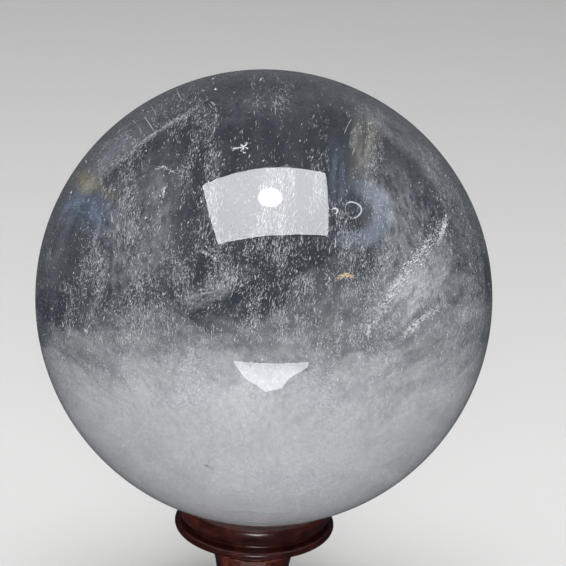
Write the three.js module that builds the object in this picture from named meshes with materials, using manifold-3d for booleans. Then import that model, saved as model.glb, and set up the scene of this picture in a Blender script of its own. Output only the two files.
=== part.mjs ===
// A polished rock-crystal ball resting on a small turned wooden pedestal.
//
// Units are millimetres and +Z is up. The origin is the middle of the pedestal's footprint, on the
// surface that it stands on. Every piece is turned about the Z axis, apart from the screw's thread,
// the cross cut in its head and the four felt pads.

import * as THREE from "three";
import { mergeVertices } from "three/addons/utils/BufferGeometryUtils.js";
import Module from "manifold-3d";

// ---- The crystal ----
const BALL_DIAMETER = 100;

// ---- The seat: the dished top of the pedestal, which the ball rests in ----
const RIM_DIAMETER = 32; // inner edge of the bead, where the wood comes closest to the ball
const RIM_CLEARANCE = 0.35; // ball to wood at the rim: the felt carries the ball, the wood never touches it
const FELT_THICKNESS = 1;
const FELT_EDGE_GAP = 0.6; // felt ring to the rim's wall and to the edge of the screw well
const WELL_DIAMETER = 17; // pocket in the dish for the screw's head

// ---- The cup's turned outside, from the rim down ----
const BEAD_HEIGHT = 4.7;
const BEAD_WIDTH = 1.7; // how far the bead bulges beyond its shoulder
const BEAD_SHOULDER = 0.2; // flat ring between the rim's wall and the start of the bead
const GROOVE_HEIGHT = 1.2;
const GROOVE_DEPTH = 0.6;
const LIP_THICKNESS = 1.9;
const LIP_WIDTH = 1.9; // how far the lip stands out from the groove's edge
const LIP_UNDERCUT = 0.9; // flat under the lip, before the cove starts
const COLLAR_HEIGHT = 0.5; // short straight collar where the cup meets the neck
const WEB_THICKNESS = 2.7; // wood left between the screw well and the neck's socket

// ---- The neck ----
const NECK_HEIGHT = 14.9;
const NECK_TOP_DIAMETER = 19.6;
const NECK_WAIST_DIAMETER = 16.2;
const NECK_BASE_DIAMETER = 24;
const NECK_FILLET_HEIGHT = 1.3; // small square fillet at the neck's base
const WAIST_PLACE = 0.42; // height of the narrowest place, as a share of the neck
const TENON_DIAMETER = 12;
const TOP_TENON_LENGTH = 2;
const FOOT_TENON_LENGTH = 4;

// ---- The foot ----
const FOOT_DIAMETER = 48;
const FOOT_HEIGHT = 7;
const FOOT_EDGE_HEIGHT = 3.2; // half-round edge
const FOOT_STEP_HEIGHT = 0.7; // small step above the half-round edge
const FOOT_STEP_WIDTH = 1.2;
const FOOT_SHOULDER = 1.4; // flat ring on the foot's top around the neck

// ---- The felt pads under the foot ----
const PAD_COUNT = 4;
const PAD_DIAMETER = 9;
const PAD_THICKNESS = 1.5;
const PAD_EDGE_INSET = 2; // pad's edge to the foot's half-round edge
const PAD_ROUNDING = 0.35;

// ---- The screw that holds the cup on the neck, and its washer ----
const SCREW_LENGTH = 16;
const SCREW_DIAMETER = 4.2;
const SCREW_CORE_DIAMETER = 3;
const SCREW_PITCH = 1.8;
const SCREW_POINT_LENGTH = 4;
const SCREW_PLAIN_LENGTH = 2.5; // smooth shank under the head
const HEAD_DIAMETER = 8;
const HEAD_HEIGHT = 2.4;
const HEAD_CLEARANCE = 0.9; // top of the head to the underside of the ball
const CROSS_LENGTH = 4.2;
const CROSS_WIDTH = 1;
const CROSS_DEPTH = 1.4;
const WASHER_DIAMETER = 10.5;
const WASHER_THICKNESS = 0.8;
const WASHER_CHAMFER = 0.15;

// ---- Fits ----
const TOUCH_GAP = 0.3; // between pieces that rest on or are glued to each other
const SCREW_CLEARANCE = 0.3; // round the screw in the washer, the cup and the neck

// ---- Fineness of the turned shapes ----
const BALL_SIDES = 48;
const BALL_RINGS = 26;
const TURNED_SIDES = 40;
const SMALL_SIDES = 24;
const ARC_STEPS = 3; // points on a curve; an arc gets twice as many
const THREAD_SIDES = 16;
const THREAD_STEPS = 5; // rows of the thread's surface in each turn

// ---- Worked-out radii ----
const ballRadius = BALL_DIAMETER / 2;
const rimRadius = RIM_DIAMETER / 2;
const wellRadius = WELL_DIAMETER / 2;
const shoulderRadius = rimRadius + BEAD_SHOULDER;
const neckTopRadius = NECK_TOP_DIAMETER / 2;
const neckBaseRadius = NECK_BASE_DIAMETER / 2;
const tenonRadius = TENON_DIAMETER / 2;
const socketRadius = tenonRadius + TOUCH_GAP;
const screwRadius = SCREW_DIAMETER / 2;
const screwHoleRadius = screwRadius + SCREW_CLEARANCE;
const footRadius = FOOT_DIAMETER / 2;
const footEdgeRadius = FOOT_EDGE_HEIGHT / 2;

// ---- Worked-out heights, from the surface up ----
const footBottomZ = PAD_THICKNESS + TOUCH_GAP;
const footTopZ = footBottomZ + FOOT_HEIGHT;
const neckBottomZ = footTopZ + TOUCH_GAP;
const neckTopZ = neckBottomZ + NECK_HEIGHT;
const cupBottomZ = neckTopZ + TOUCH_GAP;
const cupSocketTopZ = cupBottomZ + TOP_TENON_LENGTH + TOUCH_GAP;
const wellFloorZ = cupSocketTopZ + WEB_THICKNESS;
const washerBottomZ = wellFloorZ + TOUCH_GAP;
const headBottomZ = washerBottomZ + WASHER_THICKNESS + TOUCH_GAP;
const ballBottomZ = headBottomZ + HEAD_HEIGHT + HEAD_CLEARANCE;
const ballCentreZ = ballBottomZ + ballRadius;

// ---- The seat's spheres, all about the ball's centre ----
const feltInnerSphere = ballRadius + TOUCH_GAP;
const feltOuterSphere = feltInnerSphere + FELT_THICKNESS;
const dishSphere = feltOuterSphere + TOUCH_GAP;
const rimZ = belowCentre(ballRadius + RIM_CLEARANCE, rimRadius);

/** Height of the underside of a sphere about the ball's centre, at a distance from the Z axis. */
function belowCentre(sphereRadius, fromAxis) {
  return ballCentreZ - Math.sqrt(sphereRadius ** 2 - fromAxis ** 2);
}

/** Adds an arc on the underside of a sphere about the ball's centre, between two distances from the axis. */
function addDishArc(path, sphereRadius, fromRadius, toRadius) {
  const start = -Math.acos(fromRadius / sphereRadius);
  const end = -Math.acos(toRadius / sphereRadius);
  path.absarc(0, ballCentreZ, sphereRadius, start, end, fromRadius > toRadius);
}

/** A solid of revolution about Z from an outline of (distance from the axis, height). */
function turned(outline, sides = TURNED_SIDES) {
  const geometry = new THREE.LatheGeometry(outline.getPoints(ARC_STEPS), sides);
  geometry.rotateX(Math.PI / 2);
  return geometry;
}

const wasm = await Module();
wasm.setup();

/** A manifold solid from a three.js geometry. */
function toSolid(geometry) {
  const bare = new THREE.BufferGeometry();
  bare.setAttribute("position", geometry.getAttribute("position"));
  bare.setIndex(geometry.index);
  const merged = mergeVertices(bare, 1e-4);
  const mesh = new wasm.Mesh({
    numProp: 3,
    vertProperties: merged.attributes.position.array,
    triVerts: new Uint32Array(merged.index.array),
  });
  return new wasm.Manifold(mesh);
}

/** A three.js geometry from a manifold solid. */
function toGeometry(solid) {
  const mesh = solid.getMesh();
  const geometry = new THREE.BufferGeometry();
  geometry.setAttribute("position", new THREE.BufferAttribute(mesh.vertProperties, 3));
  geometry.setIndex(new THREE.BufferAttribute(mesh.triVerts, 1));
  geometry.computeVertexNormals();
  return geometry;
}

function material(colour, roughness, extra = {}) {
  return new THREE.MeshStandardMaterial({ color: colour, roughness, metalness: 0, ...extra });
}

const crystal = () => material("#dfe4ea", 0.02, { transparent: true, opacity: 0.45 });
const lacqueredWood = () => material("#3a100b", 0.16);
const felt = (colour) => material(colour, 0.95);
const steel = () => material("#9c9a94", 0.35, { metalness: 1 });

/** One named piece. */
function piece(name, geometry, look) {
  const mesh = new THREE.Mesh(geometry, look);
  mesh.name = name;
  return mesh;
}

/** The solid ball of clear rock crystal. */
function makeBall() {
  const geometry = new THREE.SphereGeometry(ballRadius, BALL_SIDES, BALL_RINGS);
  geometry.rotateX(Math.PI / 2);
  const mesh = piece("crystal_ball", geometry, crystal());
  mesh.position.z = ballCentreZ;
  return mesh;
}

/** The felt ring that lines the dish, concentric with the ball. */
function makeSeatFelt() {
  const innerRadius = wellRadius + FELT_EDGE_GAP;
  const outerRadius = rimRadius - FELT_EDGE_GAP;
  const outline = new THREE.Path();
  outline.moveTo(innerRadius, belowCentre(feltOuterSphere, innerRadius));
  addDishArc(outline, feltOuterSphere, innerRadius, outerRadius);
  outline.lineTo(outerRadius, belowCentre(feltInnerSphere, outerRadius));
  addDishArc(outline, feltInnerSphere, outerRadius, innerRadius);
  outline.closePath();
  return piece("seat_felt_ring", turned(outline), felt("#2b1512"));
}

/** The top of the pedestal: dish, rim, bead, groove, lip, cove and the socket for the neck. */
function makeCup() {
  const beadMiddleZ = rimZ - BEAD_HEIGHT / 2;
  const grooveTopZ = rimZ - BEAD_HEIGHT;
  const grooveBottomZ = grooveTopZ - GROOVE_HEIGHT;
  const lipRadius = LIP_THICKNESS / 2;
  const lipCentreRadius = shoulderRadius + LIP_WIDTH - lipRadius;
  const lipMiddleZ = grooveBottomZ - lipRadius;
  const lipBottomZ = grooveBottomZ - LIP_THICKNESS;
  const coveTopRadius = lipCentreRadius - LIP_UNDERCUT;
  const collarTopZ = cupBottomZ + COLLAR_HEIGHT;

  const outline = new THREE.Path();
  outline.moveTo(screwHoleRadius, cupSocketTopZ);
  outline.lineTo(socketRadius, cupSocketTopZ);
  outline.lineTo(socketRadius, cupBottomZ);
  outline.lineTo(neckTopRadius, cupBottomZ);
  outline.lineTo(neckTopRadius, collarTopZ);
  outline.absellipse(
    coveTopRadius, collarTopZ, coveTopRadius - neckTopRadius, lipBottomZ - collarTopZ,
    Math.PI, Math.PI / 2, true, 0,
  );
  outline.lineTo(lipCentreRadius, lipBottomZ);
  outline.absarc(lipCentreRadius, lipMiddleZ, lipRadius, -Math.PI / 2, Math.PI / 2, false);
  outline.lineTo(shoulderRadius, grooveBottomZ);
  outline.absellipse(
    shoulderRadius, (grooveTopZ + grooveBottomZ) / 2, GROOVE_DEPTH, GROOVE_HEIGHT / 2,
    -Math.PI / 2, Math.PI / 2, true, 0,
  );
  outline.absellipse(
    shoulderRadius, beadMiddleZ, BEAD_WIDTH, BEAD_HEIGHT / 2,
    -Math.PI / 2, Math.PI / 2, false, 0,
  );
  outline.lineTo(rimRadius, rimZ);
  outline.lineTo(rimRadius, belowCentre(dishSphere, rimRadius));
  addDishArc(outline, dishSphere, rimRadius, wellRadius);
  outline.lineTo(wellRadius, wellFloorZ);
  outline.lineTo(screwHoleRadius, wellFloorZ);
  outline.closePath();
  return piece("seat_cup", turned(outline), lacqueredWood());
}

/** The waisted neck, with a tenon at each end and a blind pilot hole for the screw. */
function makeNeck() {
  const waistRadius = NECK_WAIST_DIAMETER / 2;
  const waistZ = neckBottomZ + WAIST_PLACE * NECK_HEIGHT;
  const filletTopZ = neckBottomZ + NECK_FILLET_HEIGHT;
  const pilotBottomZ = headBottomZ - SCREW_LENGTH - 2 * SCREW_CLEARANCE;
  const pilotShoulderZ = pilotBottomZ + screwHoleRadius;

  const outline = new THREE.Path();
  outline.moveTo(0, neckBottomZ - FOOT_TENON_LENGTH);
  outline.lineTo(tenonRadius, neckBottomZ - FOOT_TENON_LENGTH);
  outline.lineTo(tenonRadius, neckBottomZ);
  outline.lineTo(neckBaseRadius, neckBottomZ);
  outline.lineTo(neckBaseRadius, filletTopZ);
  outline.absellipse(
    neckBaseRadius, waistZ, neckBaseRadius - waistRadius, waistZ - filletTopZ,
    -Math.PI / 2, -Math.PI, true, 0,
  );
  outline.quadraticCurveTo(waistRadius, (waistZ + neckTopZ) / 2, neckTopRadius, neckTopZ);
  outline.lineTo(tenonRadius, neckTopZ);
  outline.lineTo(tenonRadius, neckTopZ + TOP_TENON_LENGTH);
  outline.lineTo(screwHoleRadius, neckTopZ + TOP_TENON_LENGTH);
  outline.lineTo(screwHoleRadius, pilotShoulderZ);
  outline.lineTo(0, pilotBottomZ);
  return piece("neck_spindle", turned(outline), lacqueredWood());
}

/** The turned foot: a half-round edge, a step, a rising ogee and the socket for the neck's tenon. */
function makeFoot() {
  const socketBottomZ = neckBottomZ - FOOT_TENON_LENGTH - TOUCH_GAP;
  const edgeCentreRadius = footRadius - footEdgeRadius;
  const edgeTopZ = footBottomZ + FOOT_EDGE_HEIGHT;
  const stepTopZ = edgeTopZ + FOOT_STEP_HEIGHT;
  const stepRadius = edgeCentreRadius - FOOT_STEP_WIDTH;
  const shoulderEnd = neckBaseRadius + FOOT_SHOULDER;
  const ogeeMiddleRadius = (stepRadius + shoulderEnd) / 2;
  const ogeeMiddleZ = (stepTopZ + footTopZ) / 2;

  const outline = new THREE.Path();
  outline.moveTo(0, footBottomZ);
  outline.lineTo(edgeCentreRadius, footBottomZ);
  outline.absarc(
    edgeCentreRadius, footBottomZ + footEdgeRadius, footEdgeRadius,
    -Math.PI / 2, Math.PI / 2, false,
  );
  outline.lineTo(edgeCentreRadius - FOOT_STEP_WIDTH / 2, edgeTopZ);
  outline.lineTo(edgeCentreRadius - FOOT_STEP_WIDTH / 2, stepTopZ);
  outline.lineTo(stepRadius, stepTopZ);
  outline.quadraticCurveTo(stepRadius, ogeeMiddleZ, ogeeMiddleRadius, ogeeMiddleZ);
  outline.quadraticCurveTo(shoulderEnd, ogeeMiddleZ, shoulderEnd, footTopZ);
  outline.lineTo(socketRadius, footTopZ);
  outline.lineTo(socketRadius, socketBottomZ);
  outline.lineTo(0, socketBottomZ);
  return piece("foot", turned(outline), lacqueredWood());
}

/** One felt pad, with its two edges slightly rounded. */
function makePad(index) {
  const radius = PAD_DIAMETER / 2;
  const circleRadius = footRadius - footEdgeRadius - PAD_EDGE_INSET - radius;
  const angle = (index / PAD_COUNT) * 2 * Math.PI;
  const outline = new THREE.Path();
  outline.moveTo(0, 0);
  outline.lineTo(radius - PAD_ROUNDING, 0);
  outline.lineTo(radius, PAD_ROUNDING);
  outline.lineTo(radius, PAD_THICKNESS - PAD_ROUNDING);
  outline.lineTo(radius - PAD_ROUNDING, PAD_THICKNESS);
  outline.lineTo(0, PAD_THICKNESS);
  const mesh = piece(`foot_pad_${index + 1}`, turned(outline, SMALL_SIDES), felt("#171412"));
  mesh.position.set(circleRadius * Math.cos(angle), circleRadius * Math.sin(angle), 0);
  return mesh;
}

/** The plain steel washer under the screw's head. */
function makeWasher() {
  const outer = WASHER_DIAMETER / 2;
  const topZ = washerBottomZ + WASHER_THICKNESS;
  const outline = new THREE.Path();
  outline.moveTo(screwHoleRadius, washerBottomZ);
  outline.lineTo(outer, washerBottomZ);
  outline.lineTo(outer, topZ - WASHER_CHAMFER);
  outline.lineTo(outer - WASHER_CHAMFER, topZ);
  outline.lineTo(screwHoleRadius, topZ);
  outline.closePath();
  return piece("cup_washer", turned(outline, SMALL_SIDES), steel());
}

/** Radius of the thread at an angle and a depth below the head: a V thread that fades out at both ends. */
function threadRadius(angle, depth) {
  const coreRadius = SCREW_CORE_DIAMETER / 2;
  if (depth <= SCREW_PLAIN_LENGTH) return screwRadius;
  const toTip = SCREW_LENGTH - depth;
  const point = Math.min(1, toTip / SCREW_POINT_LENGTH);
  const turn = depth / SCREW_PITCH + angle / (2 * Math.PI);
  const wave = 1 - Math.abs(2 * (turn - Math.floor(turn)) - 1);
  return point * (coreRadius + (screwRadius - coreRadius) * wave);
}

/** The threaded shank, from under the head down to the point. */
function makeThread() {
  const rows = Math.round((SCREW_LENGTH / SCREW_PITCH) * THREAD_STEPS);
  const buried = HEAD_HEIGHT / 2; // the shank starts inside the head, which it is joined to
  const positions = [0, 0, buried];
  const index = [];
  for (let row = 0; row < rows; row += 1) {
    const depth = (row / rows) * SCREW_LENGTH;
    for (let side = 0; side < THREAD_SIDES; side += 1) {
      const angle = (side / THREAD_SIDES) * 2 * Math.PI;
      const radius = threadRadius(angle, depth);
      positions.push(radius * Math.cos(angle), radius * Math.sin(angle), row ? -depth : buried);
    }
  }
  positions.push(0, 0, -SCREW_LENGTH);
  const tip = positions.length / 3 - 1;
  const at = (row, side) => 1 + row * THREAD_SIDES + (side % THREAD_SIDES);
  for (let side = 0; side < THREAD_SIDES; side += 1) {
    index.push(0, at(0, side), at(0, side + 1));
    index.push(tip, at(rows - 1, side + 1), at(rows - 1, side));
    for (let row = 1; row < rows; row += 1) {
      index.push(at(row - 1, side), at(row, side), at(row, side + 1));
      index.push(at(row - 1, side), at(row, side + 1), at(row - 1, side + 1));
    }
  }
  const geometry = new THREE.BufferGeometry();
  geometry.setAttribute("position", new THREE.Float32BufferAttribute(positions, 3));
  geometry.setIndex(index);
  return geometry;
}

/** The pan-head wood screw with a cross cut in its head, its head's underside at height 0. */
function makeScrew() {
  const headRadius = HEAD_DIAMETER / 2;
  const outline = new THREE.Path();
  outline.moveTo(0, 0);
  outline.lineTo(headRadius, 0);
  outline.lineTo(headRadius, HEAD_HEIGHT / 3);
  outline.absellipse(0, HEAD_HEIGHT / 3, headRadius, (2 * HEAD_HEIGHT) / 3, 0, Math.PI / 2, false, 0);
  let solid = toSolid(turned(outline, SMALL_SIDES)).add(toSolid(makeThread()));
  for (const turn of [0, Math.PI / 2]) {
    const slot = new THREE.BoxGeometry(CROSS_LENGTH, CROSS_WIDTH, 2 * CROSS_DEPTH);
    slot.rotateZ(turn);
    slot.translate(0, 0, HEAD_HEIGHT);
    solid = solid.subtract(toSolid(slot));
  }
  const mesh = piece("cup_screw", toGeometry(solid), steel());
  mesh.position.z = headBottomZ;
  return mesh;
}

const pedestal = new THREE.Group();
pedestal.add(makeCup(), makeSeatFelt(), makeWasher(), makeScrew(), makeNeck(), makeFoot());
for (let index = 0; index < PAD_COUNT; index += 1) pedestal.add(makePad(index));

const crystalBallOnStand = new THREE.Group();
crystalBallOnStand.add(pedestal, makeBall());

export default crystalBallOnStand;
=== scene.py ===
"""Looks of a crystal ball on its small turned pedestal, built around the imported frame.

Everything is in metres, in the frame's own axes: +Z up, the front towards -Y.
"""

import math
import random

import bmesh
import bpy
from mathutils import Matrix, Vector, noise


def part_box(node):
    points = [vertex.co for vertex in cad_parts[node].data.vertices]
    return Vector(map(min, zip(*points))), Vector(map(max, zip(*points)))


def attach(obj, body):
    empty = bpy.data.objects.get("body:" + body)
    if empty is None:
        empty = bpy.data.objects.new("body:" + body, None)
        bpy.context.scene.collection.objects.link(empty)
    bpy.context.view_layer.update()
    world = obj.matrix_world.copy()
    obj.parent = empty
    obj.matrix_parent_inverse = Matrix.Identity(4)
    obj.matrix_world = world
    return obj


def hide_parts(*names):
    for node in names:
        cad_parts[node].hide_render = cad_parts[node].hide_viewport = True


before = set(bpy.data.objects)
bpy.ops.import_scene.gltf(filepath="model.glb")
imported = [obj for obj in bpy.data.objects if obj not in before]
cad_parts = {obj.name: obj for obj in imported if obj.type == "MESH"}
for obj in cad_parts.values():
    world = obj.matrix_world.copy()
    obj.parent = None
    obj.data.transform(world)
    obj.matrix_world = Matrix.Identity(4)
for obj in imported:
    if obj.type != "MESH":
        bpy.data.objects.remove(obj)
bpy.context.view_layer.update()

MM = 0.001
PEDESTAL = "pedestal"
BALL = "ball"

# ---- Measures taken from the frame ----
ball_low, ball_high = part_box("crystal_ball")
RADIUS = (ball_high.z - ball_low.z) / 2
CENTRE = (ball_low + ball_high) / 2

# ---- Optics of rock crystal ----
QUARTZ_IOR = 1.544

# ---- Camera ----
CAMERA_DISTANCE = 10 * RADIUS
CAMERA_ELEVATION = math.radians(21)
CAMERA_ROLL = math.radians(2.5)
CAMERA_LENS = 144.7
CAMERA_SENSOR = 36
AIM_RIGHT = 0.00835  # how far the aim passes the ball's centre, as slopes
AIM_UP = 0.00651


def make_camera():
    """The front camera, and its right, up and back directions."""
    elevation = CAMERA_ELEVATION
    back = Vector((0, -math.cos(elevation), math.sin(elevation)))
    side = Vector((1, 0, 0))
    above = back.cross(side)
    right = side * math.cos(CAMERA_ROLL) + above * math.sin(CAMERA_ROLL)
    up = above * math.cos(CAMERA_ROLL) - side * math.sin(CAMERA_ROLL)
    data = bpy.data.cameras.new("front_camera")
    data.lens = CAMERA_LENS
    data.sensor_width = CAMERA_SENSOR
    data.clip_start = 0.01
    data.clip_end = 20
    camera = bpy.data.objects.new("front_camera", data)
    bpy.context.scene.collection.objects.link(camera)
    toward = (-back + right * AIM_RIGHT + up * AIM_UP).normalized()
    x_axis = (right - toward * right.dot(toward)).normalized()
    y_axis = x_axis.cross(toward)
    turn = Matrix((x_axis, y_axis, -toward)).transposed()
    camera.matrix_world = Matrix.Translation(CENTRE + back * CAMERA_DISTANCE) @ turn.to_4x4()
    bpy.context.scene.camera = camera
    return right, up, back


VIEW_RIGHT, VIEW_UP, VIEW_BACK = make_camera()


def seen_at(right, up, depth):
    """The place inside the ball that the front camera sees at (right, up), counted in ball radii from the
    ball's centre in the picture, and at depth, a share of the bent line of sight through the crystal."""
    eye = CENTRE + VIEW_BACK * CAMERA_DISTANCE
    reach = math.tan(math.asin(RADIUS / CAMERA_DISTANCE))
    ray = (-VIEW_BACK + (VIEW_RIGHT * right + VIEW_UP * up) * reach).normalized()
    from_centre = eye - CENTRE
    along = from_centre.dot(ray)
    inside = max(along**2 - (from_centre.dot(from_centre) - RADIUS**2), 0)
    entry = eye + ray * (-along - math.sqrt(inside))
    normal = (entry - CENTRE).normalized()
    cos_in = -normal.dot(ray)
    sin_out_squared = (1 - cos_in**2) / QUARTZ_IOR**2
    bent = ray / QUARTZ_IOR + normal * (cos_in / QUARTZ_IOR - math.sqrt(1 - sin_out_squared))
    bent.normalize()
    chord = -2 * (entry - CENTRE).dot(bent)
    return entry + bent * chord * depth


# ---- Small helpers ----
def new_object(name, mesh):
    made = bpy.data.objects.new(name, mesh)
    bpy.context.scene.collection.objects.link(made)
    return made


def mesh_from(name, points, faces, smooth=True):
    mesh = bpy.data.meshes.new(name)
    mesh.from_pydata([tuple(p) for p in points], [], faces)
    mesh.update()
    if smooth:
        mesh.shade_smooth()
    return mesh


class Shader:
    """A small builder for node materials."""

    def __init__(self, name):
        self.material = bpy.data.materials.new(name)
        self.material.use_nodes = True
        self.tree = self.material.node_tree
        self.tree.nodes.clear()
        self.output = self.tree.nodes.new("ShaderNodeOutputMaterial")

    def node(self, kind, **settings):
        made = self.tree.nodes.new("ShaderNode" + kind)
        for key, value in settings.items():
            if key in made.inputs.keys():
                self.put(value, made.inputs[key])
            else:
                setattr(made, key, value)
        return made

    def put(self, value, socket):
        if isinstance(value, bpy.types.NodeSocket):
            self.tree.links.new(value, socket)
        else:
            socket.default_value = value

    def place(self, scale=(1, 1, 1), turn=(0, 0, 0)):
        """Object coordinates, stretched and turned."""
        source = self.node("TexCoord").outputs["Object"]
        mapping = self.node("Mapping", Vector=source, Scale=scale, Rotation=turn)
        return mapping.outputs["Vector"]

    def noise(self, vector, scale, detail=4.0, rough=0.55, distortion=0.0):
        made = self.node(
            "TexNoise", Vector=vector, Scale=scale, Detail=detail, Roughness=rough, Distortion=distortion
        )
        return made.outputs["Fac"]

    def ramp(self, factor, *stops):
        """A colour ramp through (place, colour) stops; a plain number stands for a grey."""
        made = self.node("ValToRGB", Fac=factor)
        elements = made.color_ramp.elements
        while len(elements) < len(stops):
            elements.new(0.5)
        for element, (place, colour) in zip(elements, stops):
            element.position = place
            value = (colour,) * 3 if isinstance(colour, (int, float)) else colour
            element.color = (*value, 1)
        return made.outputs["Color"]

    def math(self, operation, a, b):
        made = self.tree.nodes.new("ShaderNodeMath")
        made.operation = operation
        self.put(a, made.inputs[0])
        self.put(b, made.inputs[1])
        return made.outputs[0]

    def mix(self, factor, a, b):
        made = self.tree.nodes.new("ShaderNodeMix")
        made.data_type = "RGBA"
        self.put(factor, made.inputs[0])
        self.put(a if isinstance(a, bpy.types.NodeSocket) else (*a, 1), made.inputs[6])
        self.put(b if isinstance(b, bpy.types.NodeSocket) else (*b, 1), made.inputs[7])
        return made.outputs[2]

    def bump(self, height, strength, distance):
        return self.node("Bump", Height=height, Strength=strength, Distance=distance).outputs["Normal"]

    def attribute(self, name):
        made = self.tree.nodes.new("ShaderNodeAttribute")
        made.attribute_name = name
        return made.outputs["Fac"]

    def principled(self, **inputs):
        made = self.tree.nodes.new("ShaderNodeBsdfPrincipled")
        for key, value in inputs.items():
            self.put(value, made.inputs[key.replace("_", " ")])
        self.tree.links.new(made.outputs[0], self.output.inputs["Surface"])
        return made


# ---- Stage: floor, backdrop and lights ----
SOFTBOX_DISTANCE = 1.2
SOFTBOX_ELEVATION = math.radians(68.3)
SOFTBOX_SIZE = (1.19, 0.765)
SOFTBOX_ROLL = math.radians(9)
SOFTBOX_POWER = 25
TOP_FILL_DISTANCE, TOP_FILL_SIZE, TOP_FILL_POWER = 1.9, (2.4, 2.4), 6
FRONT_FILL_ELEVATION = math.radians(14)
FRONT_FILL_DISTANCE, FRONT_FILL_SIZE, FRONT_FILL_POWER = 1.3, (0.8, 0.5), 20
LOW_REFLECTOR_ELEVATION = math.radians(-15)
LOW_REFLECTOR_AZIMUTH = math.radians(4)
LOW_REFLECTOR_DISTANCE = 0.16
LOW_REFLECTOR_GLOW = (7.0, 7.2, 7.6, 1)
LOW_REFLECTOR_OUTLINE = (
    (-0.044, 0.026), (0.044, 0.027), (0.042, 0.020), (0.020, 0.008), (0.012, -0.004),
    (-0.004, -0.008), (-0.012, -0.003), (-0.030, 0.008), (-0.040, 0.020),
)
BULB_OFFSET = (-0.02, -0.03, 0)  # how far the softbox's bulb sits off its middle
GLOW_REACH = 0.8  # from the bulb, where the last stop of the softbox's glow lies
ROOM_COLOUR = (0.012, 0.017, 0.026, 1)
FLOOR_RADIUS = 1.1
FLOOR_SIDES = 96
BACKDROP_CURVE = 1.3
BACKDROP_STEPS = 8
BACKDROP_HEIGHT = 2.4


def make_stage():
    """A plain pale floor that curves up into a backdrop all round."""
    outline = [(0, 0), (FLOOR_RADIUS / 2, 0), (FLOOR_RADIUS, 0)]
    for step in range(1, BACKDROP_STEPS + 1):
        angle = step / BACKDROP_STEPS * math.pi / 2
        outline.append(
            (
                FLOOR_RADIUS + BACKDROP_CURVE * math.sin(angle),
                BACKDROP_CURVE * (1 - math.cos(angle)),
            )
        )
    outline.append((FLOOR_RADIUS + BACKDROP_CURVE, BACKDROP_HEIGHT))
    sides = FLOOR_SIDES
    points = [(0, 0, 0)]
    for radius, height in outline[1:]:
        for side in range(sides):
            angle = side / sides * 2 * math.pi
            points.append((radius * math.cos(angle), radius * math.sin(angle), height))
    faces = [(0, 1 + side, 1 + (side + 1) % sides) for side in range(sides)]
    for ring in range(len(outline) - 2):
        for side in range(sides):
            a = 1 + ring * sides + side
            b = 1 + ring * sides + (side + 1) % sides
            faces.append((a, a + sides, b + sides, b))
    floor = new_object("studio_floor", mesh_from("studio_floor", points, faces))
    shader = Shader("studio_paper")
    shader.principled(Base_Color=(0.50, 0.50, 0.495, 1), Roughness=0.9, Specular_IOR_Level=0.1)
    floor.data.materials.append(shader.material)
    floor.visible_glossy = False
    floor.visible_transmission = False


def facing(direction, distance, roll=0.0):
    """Where something stands that faces the ball from a direction, turned about that line by roll."""
    direction = direction.normalized()
    turn = direction.to_track_quat("Z", "Y").to_matrix()
    return (
        Matrix.Translation(CENTRE + direction * distance)
        @ turn.to_4x4()
        @ Matrix.Rotation(roll, 4, "Z")
    )


def toward(elevation, azimuth=0.0):
    """The direction from the ball at an elevation and an azimuth, 0 being the front."""
    flat = math.cos(elevation)
    return Vector((math.sin(azimuth) * flat, -math.cos(azimuth) * flat, math.sin(elevation)))


def make_area_light(name, place, size, power):
    data = bpy.data.lights.new(name, "AREA")
    data.shape = "RECTANGLE"
    data.size, data.size_y = size
    data.energy = power
    light = bpy.data.objects.new(name, data)
    bpy.context.scene.collection.objects.link(light)
    light.matrix_world = place
    light.visible_camera = False
    light.visible_glossy = False
    light.visible_transmission = False


def make_reflected_panel(name, place, outline, emission):
    """A glowing panel that shows only in reflections. The area lights give the light itself."""
    panel = new_object(name, mesh_from(name, [(x, y, 0) for x, y in outline], [range(len(outline))], False))
    panel.matrix_world = place
    shader = Shader(name)
    radiance = emission(shader)
    glow = shader.node("Emission", Color=radiance, Strength=1.0)
    shader.tree.links.new(glow.outputs[0], shader.output.inputs["Surface"])
    shader.material.cycles.emission_sampling = "NONE"
    panel.data.materials.append(shader.material)
    panel.visible_camera = False
    panel.visible_diffuse = False
    panel.visible_transmission = False
    panel.visible_volume_scatter = False
    panel.visible_shadow = False


def make_lights():
    key = toward(SOFTBOX_ELEVATION)
    place = facing(key, SOFTBOX_DISTANCE, SOFTBOX_ROLL)
    make_area_light("softbox_light", place, SOFTBOX_SIZE, SOFTBOX_POWER)
    above = facing(Vector((0, 0, 1)), TOP_FILL_DISTANCE)
    make_area_light("top_fill", above, TOP_FILL_SIZE, TOP_FILL_POWER)
    ahead = facing(toward(FRONT_FILL_ELEVATION), FRONT_FILL_DISTANCE)
    make_area_light("front_fill", ahead, FRONT_FILL_SIZE, FRONT_FILL_POWER)

    x, y = SOFTBOX_SIZE[0] / 2, SOFTBOX_SIZE[1] / 2
    corners = [(-x, -y), (x, -y), (x, y), (-x, y)]

    def softbox_glow(shader):
        spot = shader.node("VectorMath", operation="LENGTH")
        source = shader.node("TexCoord").outputs["Object"]
        centred = shader.node("Mapping", Vector=source, Location=BULB_OFFSET)
        shader.put(centred.outputs[0], spot.inputs[0])
        return shader.ramp(
            shader.math("DIVIDE", spot.outputs["Value"], GLOW_REACH),
            (0.0, (21, 21, 21)), (0.12, (20, 20, 20)), (0.15, (11.6, 11.8, 12.2)), (1.0, (10, 10.4, 11)),
        )

    make_reflected_panel("softbox_face", place, corners, softbox_glow)

    low = facing(toward(LOW_REFLECTOR_ELEVATION, LOW_REFLECTOR_AZIMUTH), LOW_REFLECTOR_DISTANCE)
    make_reflected_panel(
        "low_reflector", low, list(reversed(LOW_REFLECTOR_OUTLINE)), lambda shader: LOW_REFLECTOR_GLOW
    )


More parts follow.
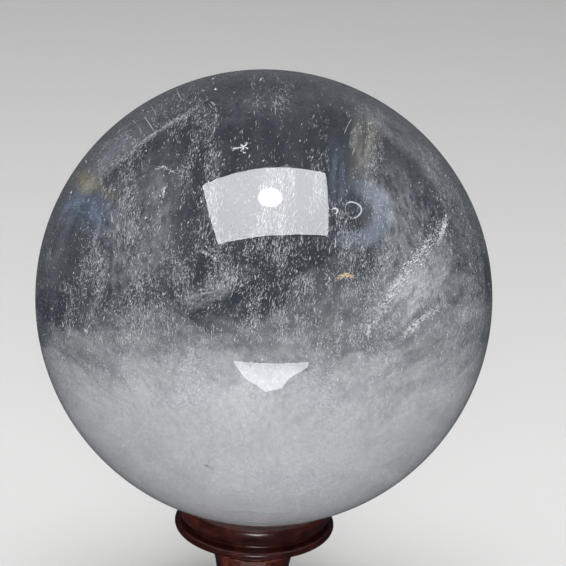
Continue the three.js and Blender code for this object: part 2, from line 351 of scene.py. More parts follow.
def make_world():
    world = bpy.data.worlds.new("dark_room")
    world.use_nodes = True
    background = world.node_tree.nodes["Background"]
    background.inputs["Color"].default_value = ROOM_COLOUR
    background.inputs["Strength"].default_value = 1
    bpy.context.scene.world = world


def set_light_paths():
    scene = bpy.context.scene
    scene.view_settings.view_transform = "Standard"
    cycles = scene.cycles
    cycles.max_bounces = 16
    cycles.transmission_bounces = 12
    cycles.glossy_bounces = 6
    cycles.diffuse_bounces = 4
    cycles.volume_bounces = 2
    cycles.transparent_max_bounces = 32
    cycles.caustics_reflective = False
    cycles.caustics_refractive = False
    cycles.sample_clamp_indirect = 4


make_stage()
make_lights()
make_world()
set_light_paths()


# ---- The turned wooden pieces ----
TURNED_SIDES = 176
CORNER_ANGLE = math.radians(40)
CORNER_ROUNDING = 0.14 * MM
CURVE_STEPS = 4


def outline_of(node):
    """The outline (distance from the axis, height) that a turned CAD node was made from, in order."""
    work = bmesh.new()
    work.from_mesh(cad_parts[node].data)
    bmesh.ops.remove_doubles(work, verts=work.verts, dist=1e-6)
    near = [v for v in work.verts if abs(v.co.x) < 2e-6 and v.co.y < 2e-6]
    chosen = set(near)
    links = {v: [e.other_vert(v) for e in v.link_edges if e.other_vert(v) in chosen] for v in near}
    ends = [v for v in near if len(links[v]) == 1]
    start = min(ends or near, key=lambda v: (v.co.z, -v.co.y))
    order, last, here = [start], None, start
    while True:
        onward = [v for v in links[here] if v is not last and v not in order[1:]]
        if not onward or onward[0] is start:
            break
        last, here = here, onward[0]
        order.append(here)
    outline = [(abs(v.co.y), v.co.z) for v in order]
    closed = not ends
    work.free()
    return outline, closed


def finer(outline, closed):
    """The outline with its curves drawn finely and its corners slightly rounded, as (point, wear) pairs."""
    points = [Vector(p) for p in outline]
    count = len(points)

    def at(i):
        return points[i % count] if closed else points[min(max(i, 0), count - 1)]

    def corner(i):
        if not closed and i in (0, count - 1):
            return True
        before = at(i) - at(i - 1)
        after = at(i + 1) - at(i)
        return before.angle(after, 0) > CORNER_ANGLE

    sharp = [corner(i) for i in range(count)]
    result = []
    for i in range(count if closed else count - 1):
        a, b = at(i), at(i + 1)
        j = (i + 1) % count
        before = a * 2 - b if sharp[i] else at(i - 1)
        after = b * 2 - a if sharp[j] else at(i + 2)
        length = (b - a).length
        inset = min(CORNER_ROUNDING, length / 3)
        if sharp[i] and a.x > 1e-6:
            result.append((a.lerp(b, inset * 0.3 / length), 1.0))
            result.append((a.lerp(b, inset / length), 0.6))
            result.append((a.lerp(b, 1.7 * inset / length), 0.25))
        else:
            result.append((a, 0.0))
        straight = sharp[i] and sharp[j]
        for step in range(1, 1 if straight else CURVE_STEPS):
            t = step / CURVE_STEPS
            p = 0.5 * (
                2 * a
                + (b - before) * t
                + (2 * before - 5 * a + 4 * b - after) * t**2
                + (3 * a - before - 3 * b + after) * t**3
            )
            result.append((p, 0.0))
        if sharp[j] and b.x > 1e-6:
            result.append((b.lerp(a, 1.7 * inset / length), 0.25))
            result.append((b.lerp(a, inset / length), 0.6))
            result.append((b.lerp(a, inset * 0.3 / length), 1.0))
    if not closed:
        result.append((at(count - 1), 0.0))
    return result


def turn_on_lathe(name, node, body, material):
    """A smooth turned piece with a CAD node's own outline, in its place."""
    outline, closed = outline_of(node)
    profile = finer(outline, closed)
    points, wear, rings = [], [], []
    for point, worn in profile:
        if point.x < 1e-6:
            rings.append([len(points)])
            points.append((0, 0, point.y))
            wear.append(worn)
            continue
        ring = []
        for side in range(TURNED_SIDES):
            angle = side / TURNED_SIDES * 2 * math.pi
            ring.append(len(points))
            points.append((point.x * math.cos(angle), point.x * math.sin(angle), point.y))
            wear.append(worn)
        rings.append(ring)
    faces = []
    for here, after in zip(rings, rings[1:] + (rings[:1] if closed else [])):
        for side in range(TURNED_SIDES):
            nxt = (side + 1) % TURNED_SIDES
            if len(here) == 1 and len(after) == 1:
                break
            if len(here) == 1:
                faces.append((here[0], after[nxt], after[side]))
            elif len(after) == 1:
                faces.append((here[side], here[nxt], after[0]))
            else:
                faces.append((here[side], here[nxt], after[nxt], after[side]))
    mesh = mesh_from(name, points, faces)
    attribute = mesh.attributes.new("wear", "FLOAT", "POINT")
    attribute.data.foreach_set("value", wear)
    work = bmesh.new()
    work.from_mesh(mesh)
    bmesh.ops.recalc_face_normals(work, faces=work.faces)
    work.to_mesh(mesh)
    work.free()
    mesh.materials.append(material)
    made = new_object(name, mesh)
    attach(made, body)
    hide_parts(node)
    return made


def lacquered_wood(name, grain, tone=1.0):
    """Dark red-brown stained wood under thick lacquer. grain stretches the figure along the blank."""
    shader = Shader(name)
    figure = shader.noise(shader.place(grain), 260, 6, 0.62, 0.6)
    pores = shader.noise(shader.place([3.2 * g for g in grain]), 700, 3, 0.6)
    bands = shader.ramp(
        figure,
        (0.30, (0.008 * tone, 0.0016 * tone, 0.0013 * tone)),
        (0.48, (0.022 * tone, 0.0042 * tone, 0.0028 * tone)),
        (0.62, (0.046 * tone, 0.0095 * tone, 0.0055 * tone)),
        (0.78, (0.080 * tone, 0.0200 * tone, 0.0100 * tone)),
    )
    dark_pores = shader.ramp(pores, (0.36, 0.0), (0.46, 1.0))
    colour = shader.mix(dark_pores, (0.004, 0.001, 0.0008), bands)
    worn = shader.math(
        "MULTIPLY",
        shader.attribute("wear"),
        shader.ramp(shader.noise(shader.place(), 420, 5, 0.7), (0.5, 0.0), (0.62, 1.0)),
    )
    colour = shader.mix(worn, colour, (0.26, 0.105, 0.05))
    bumps = shader.bump(pores, 0.12, 0.00006)
    coat_waves = shader.bump(shader.noise(shader.place(), 190, 2, 0.5), 0.06, 0.00012)
    shader.principled(
        Base_Color=colour,
        Roughness=shader.ramp(figure, (0.3, 0.30), (0.8, 0.44)),
        Normal=bumps,
        Coat_Weight=1.0,
        Coat_Roughness=0.05,
        Coat_Normal=coat_waves,
    )
    return shader.material


def make_pedestal():
    side_grain = (1.0, 0.16, 1.0)
    upright_grain = (1.0, 1.0, 0.16)
    cup = lacquered_wood("cup_wood", side_grain)
    # The neck is the cup's wood made 1.9 times lighter: painted light, for the light that falls on the neck
    # below the cup.
    neck = lacquered_wood("neck_wood_painted_lighter", upright_grain, 1.9)
    foot = lacquered_wood("foot_wood", side_grain, 1.1)
    turn_on_lathe("turned_cup", "seat_cup", PEDESTAL, cup)
    turn_on_lathe("turned_neck", "neck_spindle", PEDESTAL, neck)
    turn_on_lathe("turned_foot", "foot", PEDESTAL, foot)


make_pedestal()


# ---- Felt and steel ----
def felt_material(name, dark, light):
    """Pressed wool felt: short tangled fibres, uneven in colour and height."""
    shader = Shader(name)
    fibres = shader.noise(shader.place(), 2600, 5, 0.75, 1.2)
    patches = shader.noise(shader.place(), 420, 3, 0.5)
    shade = shader.math("MULTIPLY", fibres, shader.math("ADD", patches, 0.5))
    colour = shader.ramp(shade, (0.3, dark), (0.62, light))
    shader.principled(
        Base_Color=colour,
        Roughness=0.95,
        Specular_IOR_Level=0.15,
        Sheen_Weight=0.6,
        Sheen_Roughness=0.5,
        Normal=shader.bump(fibres, 0.8, 0.00025),
    )
    return shader.material


def steel_material():
    """Zinc-plated steel with fine turning marks and dull patches."""
    shader = Shader("zinc_steel")
    marks = shader.noise(shader.place((1, 1, 9)), 900, 4, 0.6)
    patches = shader.noise(shader.place(), 300, 3, 0.5)
    shader.principled(
        Base_Color=shader.ramp(patches, (0.35, (0.34, 0.33, 0.31)), (0.7, (0.62, 0.61, 0.58))),
        Metallic=1.0,
        Roughness=shader.ramp(patches, (0.3, 0.24), (0.75, 0.48)),
        Normal=shader.bump(marks, 0.25, 0.00005),
    )
    return shader.material


def finish_small_parts():
    seat = felt_material("seat_felt", (0.018, 0.004, 0.004), (0.075, 0.02, 0.018))
    pads = felt_material("pad_felt", (0.006, 0.006, 0.006), (0.035, 0.033, 0.03))
    steel = steel_material()
    for node, material in (("seat_felt_ring", seat), ("cup_washer", steel), ("cup_screw", steel)):
        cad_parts[node].data.materials.clear()
        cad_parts[node].data.materials.append(material)
    for index in range(1, 5):
        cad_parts[f"foot_pad_{index}"].data.materials.clear()
        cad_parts[f"foot_pad_{index}"].data.materials.append(pads)


finish_small_parts()


# ---- The crystal ----
SPHERE_CELLS = 72


def sphere_mesh(name, radius, cells):
    """A cube blown up into a sphere: even, near-square faces and no poles."""
    work = bmesh.new()
    bmesh.ops.create_cube(work, size=2)
    bmesh.ops.subdivide_edges(work, edges=work.edges[:], cuts=cells - 1, use_grid_fill=True)
    for vertex in work.verts:
        x, y, z = (math.tan(c * math.pi / 4) for c in vertex.co)
        vertex.co = Vector((x, y, z)).normalized() * radius
    mesh = bpy.data.meshes.new(name)
    work.to_mesh(mesh)
    work.free()
    mesh.shade_smooth()
    return mesh


def crystal_material():
    """Polished quartz. Its tint drifts very slightly through the stone."""
    shader = Shader("rock_crystal")
    drift = shader.noise(shader.place(), 24, 4, 0.55, 0.4)
    shader.principled(
        Base_Color=shader.ramp(drift, (0.3, (0.955, 0.965, 0.98)), (0.7, (0.995, 0.995, 0.995))),
        Transmission_Weight=1.0,
        Roughness=0.0,
        IOR=QUARTZ_IOR,
    )
    return shader.material


def ball_piece(name, mesh, material):
    """A piece that belongs to the ball, with its mesh about the ball's centre."""
    mesh.materials.append(material)
    made = new_object(name, mesh)
    made.location = CENTRE
    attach(made, BALL)
    return made


def make_crystal():
    ball = ball_piece("polished_ball", sphere_mesh("polished_ball", RADIUS, SPHERE_CELLS), crystal_material())
    ball.visible_shadow = False
    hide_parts("crystal_ball")


make_crystal()


# ---- Frosty matter: what lights up inside the stone ----
def frost(shader, colour, opacity, through_share=0.5):
    """White matter, lit from the front and, by through_share, from behind, let through by opacity."""
    diffuse = shader.node("BsdfDiffuse", Color=colour)
    through = shader.node("BsdfTranslucent", Color=colour)
    body = shader.node("MixShader", Fac=through_share)
    shader.tree.links.new(diffuse.outputs[0], body.inputs[1])
    shader.tree.links.new(through.outputs[0], body.inputs[2])
    clear = shader.node("BsdfTransparent")
    surface = shader.tree.nodes.new("ShaderNodeMixShader")
    shader.put(opacity, surface.inputs[0])
    shader.tree.links.new(clear.outputs[0], surface.inputs[1])
    shader.tree.links.new(body.outputs[0], surface.inputs[2])
    shader.tree.links.new(surface.outputs[0], shader.output.inputs["Surface"])


def milky_material(name, density, strength):
    """A cloud of tiny fluid bubbles: light scatters in it, and its skin is finely grained."""
    shader = Shader(name)
    clouds = shader.noise(shader.place((1, 1, 0.55)), 130, 6, 0.68, 0.3)
    grain = shader.noise(shader.place((1, 1, 0.6)), 1100, 3, 0.7)
    pattern = shader.math("MULTIPLY", clouds, grain)
    opacity = shader.math("MULTIPLY", shader.ramp(pattern, (0.18, 0.1), (0.34, 1.6)), strength)
    frost(shader, shader.ramp(clouds, (0.3, (0.80, 0.84, 0.90)), (0.75, (0.92, 0.92, 0.92))), opacity)
    scatter = shader.node("VolumeScatter", Color=(0.965, 0.98, 1.0, 1), Density=density, Anisotropy=0.0)
    shader.tree.links.new(scatter.outputs[0], shader.output.inputs["Volume"])
    return shader.material


def cloud_mesh(seed, top, tilt, back, cells, size):
    """A closed cloud in the lower front of the ball, as the front camera sees it.

    It reaches up to a ragged top (in ball radii, tilt higher on the right), and from the ball's front
    back to back.
    """
    focus = Vector((0, (top - 0.98) / 2, (back + 0.97) / 2))
    mesh = sphere_mesh("cloud", 1, cells)
    for vertex in mesh.vertices:
        way = vertex.co.normalized()
        along = focus.dot(way)
        wall = size * (-along + math.sqrt(along * along + 1 - focus.length_squared))
        rise = way.y - (tilt if way.x > 0 else -0.07) * way.x
        spot = focus + way * wall
        for _ in range(4):
            place = Vector((spot.x * 2.2, spot.z * 2.2, seed))
            clumps = 0.20 * noise.fractal(place * 0.8, 0.7, 2.1, 7)
            ragged = clumps + 0.05 * noise.fractal(place * 5, 0.8, 2.0, 4)
            reach = [wall]
            if rise > 1e-3:
                reach.append(max(top + ragged - focus.y, 0.05) / rise)
            if way.z < -1e-3:
                reach.append(max(focus.z - back - ragged * 0.5, 0.05) / -way.z)
            length = min(sum(r**-18 for r in reach) ** (-1 / 18), wall)
            spot = focus + way * length
        vertex.co = (VIEW_RIGHT * spot.x + VIEW_UP * spot.y + VIEW_BACK * spot.z) * RADIUS
    return mesh


def make_cloud(name, seed, top, tilt, back, density, strength, size):
    ball_piece(name, cloud_mesh(seed, top, tilt, back, 52, size), milky_material(name, density, strength))


HAZE_DENSITY = 0.3


def make_haze():
    """The faint haze of the whole stone."""
    shader = Shader("clear_haze")
    streaks = shader.noise(shader.place((1, 1, 0.22)), 300, 5, 0.7, 0.3)
    opacity = shader.math("MULTIPLY", shader.ramp(streaks, (0.42, 0.0), (0.8, 1.0)), 0.035)
    frost(shader, shader.ramp(streaks, (0.4, (0.80, 0.83, 0.92)), (0.8, (0.9, 0.9, 0.9))), opacity)
    scatter = shader.node("VolumeScatter", Color=(0.90, 0.94, 1.0, 1), Density=HAZE_DENSITY, Anisotropy=0.0)
    shader.tree.links.new(scatter.outputs[0], shader.output.inputs["Volume"])
    ball_piece("haze_body", sphere_mesh("haze_body", RADIUS * 0.988, 48), shader.material)


make_haze()
# name, seed, top, tilt, back, density, strength of its skin, size
CLOUDS = (
    ("cloud_1", 3, -0.38, 0.03, -0.85, 8.0, 0.06, 0.980),
    ("cloud_2", 8, -0.30, 0.06, -0.60, 3.4, 0.05, 0.976),
    ("cloud_3", 14, -0.23, 0.16, -0.30, 2.1, 0.04, 0.972),
    ("cloud_4", 21, -0.17, 0.26, 0.10, 1.6, 0.025, 0.968),
    ("cloud_5", 29, -0.10, 0.36, 0.45, 1.6, 0.02, 0.964),
)
for cloud in CLOUDS:
    make_cloud(*cloud)


# ---- Needles and grains ----
class Grains:
    """Tiny closed crystals gathered in one mesh. Each has a brightness of its own."""

    def __init__(self, seed):
        self.random = random.Random(seed)
        self.points, self.faces, self.bright = [], [], []

    def spindle(self, middle, axis, length, width, bright):
        """A three-sided crystal that tapers to a point at both ends."""
        axis = axis.normalized()
        side = axis.orthogonal().normalized()
        side.rotate(Matrix.Rotation(self.random.uniform(0, math.tau), 3, axis))
        cross = axis.cross(side)
        first = len(self.points)
        self.points.append(middle - axis * length / 2)
        waist = middle + axis * length * self.random.uniform(-0.2, 0.2)
        for step in range(3):
            angle = step / 3 * math.tau
            self.points.append(waist + (side * math.cos(angle) + cross * math.sin(angle)) * width / 2)
        self.points.append(middle + axis * length / 2)
        for step in range(3):
            a, b = first + 1 + step, first + 1 + (step + 1) % 3
            self.faces.append((first, b, a))
            self.faces.append((first + 4, a, b))
        self.bright.extend([bright] * 5)

    def leaning(self, lean, spread):
        """A near-upright direction."""
        wobble = Vector([self.random.gauss(0, spread) for _ in range(3)])
        return (Vector((0, 0, 1)) + lean + wobble).normalized()

    def finish(self, name, material):
        mesh = mesh_from(name, self.points, self.faces, False)
        attribute = mesh.attributes.new("bright", "FLOAT", "POINT")
        attribute.data.foreach_set("value", self.bright)
        return ball_piece(name, mesh, material)


GRAIN_THROUGH_SHARE = 0.25  # of the light a grain throws on, the part that it lets through from behind


def grain_material(name, dim, lit):
    """Frosty little crystals, from dim to bright, and slightly uneven."""
    shader = Shader(name)
    speckle = shader.noise(shader.place(), 900, 2, 0.5)
    level = shader.math("MULTIPLY", shader.attribute("bright"), shader.math("ADD", speckle, 0.5))
    frost(shader, shader.ramp(level, (0.0, dim), (1.0, lit)), 1.0, GRAIN_THROUGH_SHARE)
    return shader.material


def patchiness(right, up, seed):
    """How thick the feathery growth is at a place in the view, about 0 to 1."""
    curtains = noise.fractal(Vector((right * 5.5, up * 1.7, seed)), 0.8, 2.1, 5)
    tufts = noise.fractal(Vector((right * 16, up * 7, seed + 5)), 0.7, 2.0, 3)
    return 0.5 + 0.9 * curtains + 0.55 * tufts


# clear places in the view: (right, up, half width, half height), in ball radii
WINDOWS = (
    (0.0, 0.70, 0.22, 0.13), (-0.20, -0.05, 0.13, 0.09), (0.20, 0.17, 0.10, 0.06), (0.36, 0.52, 0.08, 0.14),
)


def in_window(right, up):
    return any(((right - r) / w) ** 2 + ((up - u) / h) ** 2 < 1 for r, u, w, h in WINDOWS)


def within(right, up, limit):
    return right * right + up * up < limit * limit


# in ball radii: how far a growth thins out below its upper limit, how wide it spreads in the view, and how
# near its crystals come to the ball's surface
GROWTH_EDGE = 0.22
GROWTH_WIDTH = 0.97
GROWTH_REACH = 0.95


def make_growth(name, seed, count, low, high, depths, sizes, spread, least=0.2):
    """Feathery upright growth, as the front sees it."""
    grains = Grains(seed)
    pick = grains.random
    placed = 0
    while placed < count:
        right, up = pick.uniform(-1, 1), pick.uniform(low, high)
        if not within(right, up, GROWTH_WIDTH):
            continue
        thick = patchiness(right, up, seed)
        if thick < pick.uniform(0.35, 1.0) or (in_window(right, up) and pick.random() > 0.10):
            continue
        ragged = 0.8 * noise.noise(Vector((right * 5, up * 3, seed + 9)))
        if (high - up) / GROWTH_EDGE < pick.random() + ragged:
            continue
        deepest = depths[1] if within(right, up, 0.78) else min(depths[1], 0.22)
        depth = pick.uniform(depths[0], deepest)
        spot = seen_at(right, up, depth) - CENTRE
        if spot.length > GROWTH_REACH * RADIUS:
            continue
        near = 1 / (1 + 1.6 * depth)
        slender = pick.random() ** 2
        length = (sizes[0] + (sizes[1] - sizes[0]) * slender) * near * MM
        width = pick.uniform(0.045, 0.11) * near * MM
        bright = least + (1 - least) * pick.random() ** 1.7
        sway = 0.5 * noise.noise(Vector((right * 4, up * 4, seed)))
        grains.spindle(spot, grains.leaning(Vector((0.08 + sway, 0, 0)), spread), length, width, bright)
        placed += 1
    return grains.finish(name, grain_material(name, (0.10, 0.115, 0.14), (0.95, 0.96, 1.0)))


def make_scatter(name, seed, count, sizes, width):
    """Loose grains through the whole stone, thicker near its milky half."""
    grains = Grains(seed)
    pick = grains.random
    placed = 0
    while placed < count:
        spot = Vector([pick.uniform(-1, 1) for _ in range(3)])
        if spot.length > 0.94:
            continue
        cloud = noise.fractal(Vector((spot.x * 3, spot.y * 3, spot.z * 1.4 + seed)), 0.8, 2.0, 4)
        if 0.45 + cloud - 0.35 * spot.z < pick.random():
            continue
        length = pick.uniform(*sizes) * MM
        bright = min(1, 0.25 + 0.75 * pick.random() ** 2)
        grains.spindle(spot * RADIUS, grains.leaning(Vector((0.1, 0, 0)), 0.45), length, width * MM, bright)
        placed += 1
    return grains.finish(name, grain_material(name, (0.14, 0.155, 0.18), (0.95, 0.96, 0.98)))


make_growth("upper_growth", 3, 19000, -0.2, 1.1, (0.02, 0.6), (0.15, 1.7), 0.17)
make_growth("boundary_growth", 7, 17000, -0.48, 0.34, (0.02, 0.3), (0.12, 1.2), 0.45)
make_growth("milk_grain", 17, 15000, -0.97, -0.22, (0.008, 0.05), (0.12, 0.60), 1.2, 0.45)
make_scatter("loose_grains", 11, 12000, (0.1, 0.5), 0.08)


# ---- Veils and cracks ----
def between(corners):
    """The places between four corners, each a (right, up, depth) of the view."""
    a, b, c, d = (Vector(corner) for corner in corners)
    return lambda s, t: a.lerp(b, s).lerp(d.lerp(c, s), t)


def around(start, end, inner, outer, depth, middle=(0, 0)):
    """The places in a curved band round a middle in the view, between two angles in degrees."""

    def place(s, t):
        angle, reach = math.radians(start + (end - start) * s), inner + (outer - inner) * t
        return Vector((middle[0] + reach * math.cos(angle), middle[1] + reach * math.sin(angle), depth))

    return place


SHEET_REACH = 0.955  # how near, in ball radii, a veil comes to the ball's surface


def frost_sheet(
    name, layout, cells, sag, opacity, colours, grain,
    stretch=(1, 1, 1), contrast=(0.35, 0.75), crisp=(3.2, 3.2),
):
    """A thin veil laid out in the view, that fades out at its edges, sooner the less crisp they are."""
    points, fade, faces = [], [], []
    across, along = cells
    for j in range(along + 1):
        t = j / along
        for i in range(across + 1):
            s = i / across
            place = layout(s, t)
            swing = noise.fractal(Vector((s * 2.2, t * 2.2, len(name))), 0.9, 2.0, 3)
            bulge = sag * (4 * s * (1 - s) * 4 * t * (1 - t)) * (0.7 + swing)
            depth = min(max(place.z + bulge, 0.015), 0.985)
            spot = seen_at(place.x, place.y, depth) - CENTRE
            if spot.length > SHEET_REACH * RADIUS:
                spot = spot.normalized() * SHEET_REACH * RADIUS
            points.append(spot)
            fade.append(min(1, crisp[0] * min(s, 1 - s)) * min(1, crisp[1] * min(t, 1 - t)))
    for j in range(along):
        for i in range(across):
            low = j * (across + 1) + i
            faces.append((low, low + 1, low + across + 2, low + across + 1))
    mesh = mesh_from(name, points, faces)
    mesh.attributes.new("fade", "FLOAT", "POINT").data.foreach_set("value", fade)
    shader = Shader(name)
    wisps = shader.noise(shader.place(stretch), grain, 6, 0.68, 0.4)
    fine = shader.noise(shader.place(stretch), grain * 6, 4, 0.7)
    pattern = shader.math("ADD", shader.math("MULTIPLY", wisps, 0.5), shader.math("MULTIPLY", fine, 0.5))
    shown = shader.ramp(pattern, (contrast[0], 0.0), (contrast[1], 1.0))
    faded = shader.math("MULTIPLY", shown, shader.attribute("fade"))
    colour = shader.ramp(wisps, (0.35, colours[0]), (0.65, colours[1]))
    frost(shader, colour, shader.math("MULTIPLY", faded, opacity))
    return ball_piece(name, mesh, shader.material)


COOL = (0.78, 0.83, 0.92)
WHITE = (0.95, 0.95, 0.95)

frost_sheet(
    "right_wedge_veil",
    between(((0.80, 0.34, 0.10), (0.86, 0.16, 0.10), (0.55, -0.22, 0.24), (0.36, -0.12, 0.24))),
    (30, 44), 0.06, 0.66, (COOL, WHITE), 240, (1, 1, 0.4), (0.36, 0.62), (8, 2.2),
)
frost_sheet(
    "left_rim_veil",
    between(((-0.90, 0.30, 0.05), (-0.62, 0.60, 0.06), (-0.26, 0.86, 0.06), (-0.70, 0.70, 0.04))),
    (26, 22), 0.03, 0.22, (COOL, (0.82, 0.80, 0.90)), 120, (1, 1, 1), (0.25, 0.75),
)
frost_sheet(
    "curved_veil",
    between(((-0.45, -0.02, 0.28), (-0.10, 0.16, 0.28), (0.02, 0.12, 0.34), (-0.30, -0.10, 0.34))),
    (26, 20), 0.12, 0.70, (COOL, WHITE), 230, (0.4, 1, 1.6), (0.42, 0.62),
)
frost_sheet(
    "lower_front_veil",
    between(((-0.96, -0.18, 0.06), (0.97, -0.05, 0.06), (0.72, -0.66, 0.06), (-0.74, -0.64, 0.06))),
    (40, 26), 0.06, 0.20, (COOL, WHITE), 150, (1, 1, 0.7),
)
frost_sheet(
    "iridescent_patch",
    between(((-0.84, 0.52, 0.80), (-0.68, 0.50, 0.82), (-0.68, 0.26, 0.82), (-0.84, 0.28, 0.80))),
    (20, 24), 0.05, 0.36, ((0.25, 0.42, 0.80), (0.70, 0.68, 0.55)), 60, (1, 1, 1), (0.1, 0.6),
)
frost_sheet(
    "brown_column",
    between(((0.38, 0.86, 0.45), (0.56, 0.80, 0.45), (0.46, 0.50, 0.50), (0.34, 0.50, 0.50))),
    (18, 26), 0.05, 0.28, ((0.44, 0.43, 0.32), (0.80, 0.77, 0.60)), 80, (1, 1, 0.5), (0.15, 0.6),
)
frost_sheet(
    "rim_veil_right",
    around(80, -30, 0.87, 0.995, 0.035),
    (60, 16), 0.0, 0.34, (COOL, (0.84, 0.85, 0.92)), 260, (1, 1, 0.5), (0.40, 0.66),
)
frost_sheet(
    "rim_veil_left",
    around(100, 205, 0.89, 0.995, 0.035),
    (60, 16), 0.0, 0.22, (COOL, (0.84, 0.84, 0.94)), 260, (1, 1, 0.5), (0.40, 0.66),
)
frost_sheet(
    "blue_column",
    between(((0.28, 0.72, 0.50), (0.38, 0.72, 0.50), (0.38, 0.36, 0.55), (0.27, 0.36, 0.55))),
    (18, 26), 0.05, 0.20, ((0.25, 0.34, 0.58), (0.50, 0.60, 0.80)), 70, (1, 1, 0.5), (0.2, 0.65),
)
frost_sheet(
    "yellow_patch",
    between(((-0.84, 0.57, 0.72), (-0.72, 0.57, 0.72), (-0.70, 0.44, 0.74), (-0.82, 0.44, 0.72))),
    (20, 24), 0.03, 0.26, ((0.55, 0.50, 0.22), (0.90, 0.78, 0.40)), 70, (1, 1, 1), (0.15, 0.6),
)
frost_sheet(
    "bottom_veil",
    between(((-0.66, -0.60, 0.05), (0.66, -0.60, 0.05), (0.40, -0.96, 0.05), (-0.40, -0.96, 0.05))),
    (40, 20), 0.02, 0.55, (COOL, WHITE), 150, (1, 1, 0.7), (0.3, 0.7),
)
frost_sheet(
    "eye_halo",
    around(-150, 120, 0.06, 0.17, 0.30, (0.40, 0.37)),
    (40, 12), 0.0, 0.34, ((0.30, 0.40, 0.60), (0.60, 0.68, 0.80)), 60, (1, 1, 1), (0.2, 0.6),
)

CURTAIN_OPACITY = {"left": 0.20, "right": 0.34, "upper": 0.10}
for side, veils in (
    ("left", (((-0.93, 0.32, 0.10), (-0.30, 0.90, 0.10), (-0.26, -0.10, 0.16), (-0.95, -0.20, 0.10)),
              ((-0.80, 0.40, 0.40), (-0.38, 0.75, 0.40), (-0.30, 0.05, 0.45), (-0.85, 0.00, 0.40)))),
    ("right", (((0.30, 0.86, 0.10), (0.86, 0.44, 0.10), (0.95, -0.20, 0.10), (0.50, -0.15, 0.16)),
               ((0.40, 0.74, 0.40), (0.80, 0.45, 0.40), (0.88, 0.00, 0.40), (0.44, 0.00, 0.45)))),
    ("upper", (((-0.30, 0.92, 0.08), (0.32, 0.92, 0.08), (0.24, 0.74, 0.12), (-0.26, 0.74, 0.12)),)),
):
    for index, corners in enumerate(veils):
        frost_sheet(
            f"{side}_curtain_{index + 1}",
            between(corners),
            (30, 34), 0.05, CURTAIN_OPACITY[side], (COOL, (0.86, 0.87, 0.92)), 170,
            (1, 1, 0.28), (0.44, 0.66),
        )


def make_line(name, places, width, count, bright, seed, jitter=0.012, lit=(0.95, 0.96, 1.0)):
    """A crack or streak drawn by a run of fine crystals along places in the view."""
    grains = Grains(seed)
    pick = grains.random
    spots = [Vector(p) for p in places]
    for _ in range(count):
        at = pick.random() * (len(spots) - 1)
        index = int(at)
        here = spots[index].lerp(spots[index + 1], at - index)
        way = seen_at(*spots[index + 1]) - seen_at(*spots[index])
        taper = math.sin(math.pi * at / (len(spots) - 1)) ** 0.5
        shift = Vector((pick.gauss(0, jitter), pick.gauss(0, jitter), pick.gauss(0, jitter)))
        spot = seen_at(here.x + shift.x, here.y + shift.y, max(here.z + shift.z, 0.02)) - CENTRE
        axis = way.normalized() + Vector([pick.gauss(0, 0.35) for _ in range(3)])
        length = width * pick.uniform(2, 7)
        grains.spindle(spot, axis, length * MM, width * taper * MM, bright * pick.uniform(0.5, 1))
    return grains.finish(name, grain_material(name, tuple(0.2 * c for c in lit), lit))


# name, places, width in mm, count, brightness, seed, then jitter in ball radii and a colour where they differ
LINES = (
    (
        "line_fracture", ((-0.68, 0.57, 0.05), (-0.46, 0.73, 0.05), (-0.27, 0.85, 0.05)),
        0.13, 420, 0.42, 21, 0.006,
    ),
    (
        "wisp_one", ((-0.48, 0.56, 0.10), (-0.44, 0.575, 0.10), (-0.36, 0.53, 0.11)),
        0.10, 60, 0.9, 22, 0.004,
    ),
    ("wisp_two", ((-0.42, 0.50, 0.10), (-0.44, 0.47, 0.10), (-0.44, 0.44, 0.10)), 0.10, 36, 1.0, 23, 0.003),
    (
        "wisp_three", ((-0.28, 0.21, 0.12), (-0.23, 0.18, 0.12), (-0.19, 0.155, 0.12)),
        0.11, 44, 0.9, 24, 0.004,
    ),
    (
        "right_streak", ((0.80, 0.37, 0.08), (0.79, 0.31, 0.08), (0.76, 0.24, 0.08)),
        0.15, 160, 1.0, 25, 0.006,
    ),
    (
        "wedge_edge", ((0.79, 0.33, 0.10), (0.63, 0.12, 0.12), (0.46, -0.14, 0.14)),
        0.13, 520, 1.0, 26, 0.014,
    ),
    (
        "low_right_line", ((0.80, -0.02, 0.10), (0.68, -0.10, 0.10), (0.60, -0.18, 0.10)),
        0.14, 260, 0.8, 27, 0.008,
    ),
    ("short_streak", ((0.46, -0.12, 0.10), (0.455, -0.17, 0.10)), 0.14, 40, 1.0, 28, 0.003),
    (
        "orange_speck", ((0.32, 0.085, 0.12), (0.36, 0.10, 0.12), (0.39, 0.095, 0.12)),
        0.15, 60, 1.0, 29, 0.005, (0.98, 0.76, 0.46),
    ),
    (
        "dark_crack", ((-0.26, -0.73, 0.02), (-0.22, -0.75, 0.02)),
        0.10, 40, 0.3, 30, 0.002, (0.03, 0.03, 0.035),
    ),
)
for line in LINES:
    make_line(*line)


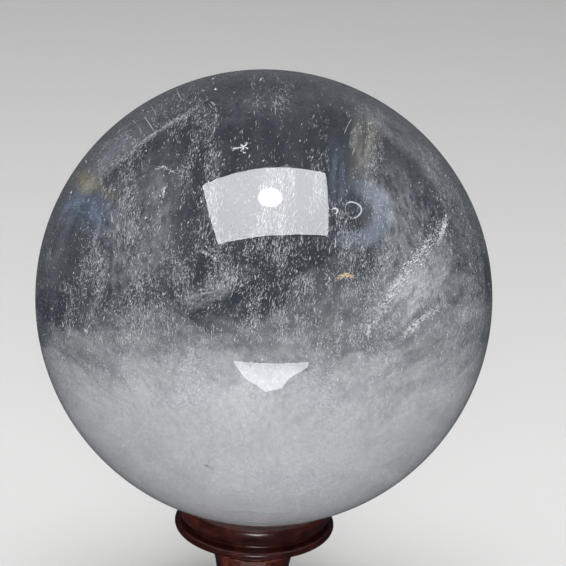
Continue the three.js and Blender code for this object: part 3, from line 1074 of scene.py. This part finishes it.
def make_star():
    """A bright little spray of crystals."""
    grains = Grains(31)
    pick = grains.random
    middle = seen_at(-0.09, 0.66, 0.10) - CENTRE
    arms = [(math.radians(spoke * 72 + pick.uniform(-34, 34)), pick.uniform(0.6, 2.4)) for spoke in range(5)]
    for _ in range(150):
        angle, reach = pick.choice(arms)
        angle += pick.gauss(0, 0.13)
        out = reach * pick.random() * MM
        flat = VIEW_RIGHT * math.cos(angle) * 1.2 + VIEW_UP * math.sin(angle) * 0.7
        way = flat + VIEW_BACK * pick.gauss(0, 0.3)
        tip = way + Vector([pick.gauss(0, 0.6) for _ in range(3)])
        grains.spindle(middle + way * out, tip, pick.uniform(0.2, 0.6) * MM, 0.11 * MM, pick.uniform(0.5, 1))
    grains.finish("star_sparkle", grain_material("star_sparkle", (0.3, 0.3, 0.3), (1.0, 1.0, 1.0)))


make_star()


# name, right, up, radius and rim in mm
BUBBLES = (("eye_bubble", 0.39, 0.385, 1.5, 0.24), ("small_bubble", 0.31, 0.38, 0.5, 0.26))
RIM_STEPS, RIM_SIDES = 40, 8


def make_eye():
    """A round bubble with a bright rim, and a smaller one beside it."""
    for name, right, up, radius, wide in BUBBLES:
        middle = seen_at(right, up, 0.18) - CENTRE
        points, faces = [], []
        for i in range(RIM_STEPS):
            angle = i / RIM_STEPS * math.tau
            wobble = 1 + 0.06 * math.sin(3 * angle + 1)
            spoke = VIEW_RIGHT * math.cos(angle) + VIEW_UP * math.sin(angle)
            thick = wide * (0.42 + 0.36 * math.sin(angle + 0.9))
            for j in range(RIM_SIDES):
                turn = j / RIM_SIDES * math.tau
                out = radius * wobble + thick * math.cos(turn)
                ring = spoke * out + VIEW_BACK * (thick * math.sin(turn))
                points.append(middle + ring * MM)
        for i in range(RIM_STEPS):
            for j in range(RIM_SIDES):
                here, there = i * RIM_SIDES, (i + 1) % RIM_STEPS * RIM_SIDES
                following = (j + 1) % RIM_SIDES
                faces.append((here + j, there + j, there + following, here + following))
        shader = Shader(name)
        rim = shader.noise(shader.place(), 420, 3, 0.6)
        frost(shader, shader.ramp(rim, (0.35, (0.42, 0.50, 0.60)), (0.65, (0.95, 0.95, 0.95))), 0.85)
        ball_piece(name, mesh_from(name, points, faces), shader.material)


make_eye()
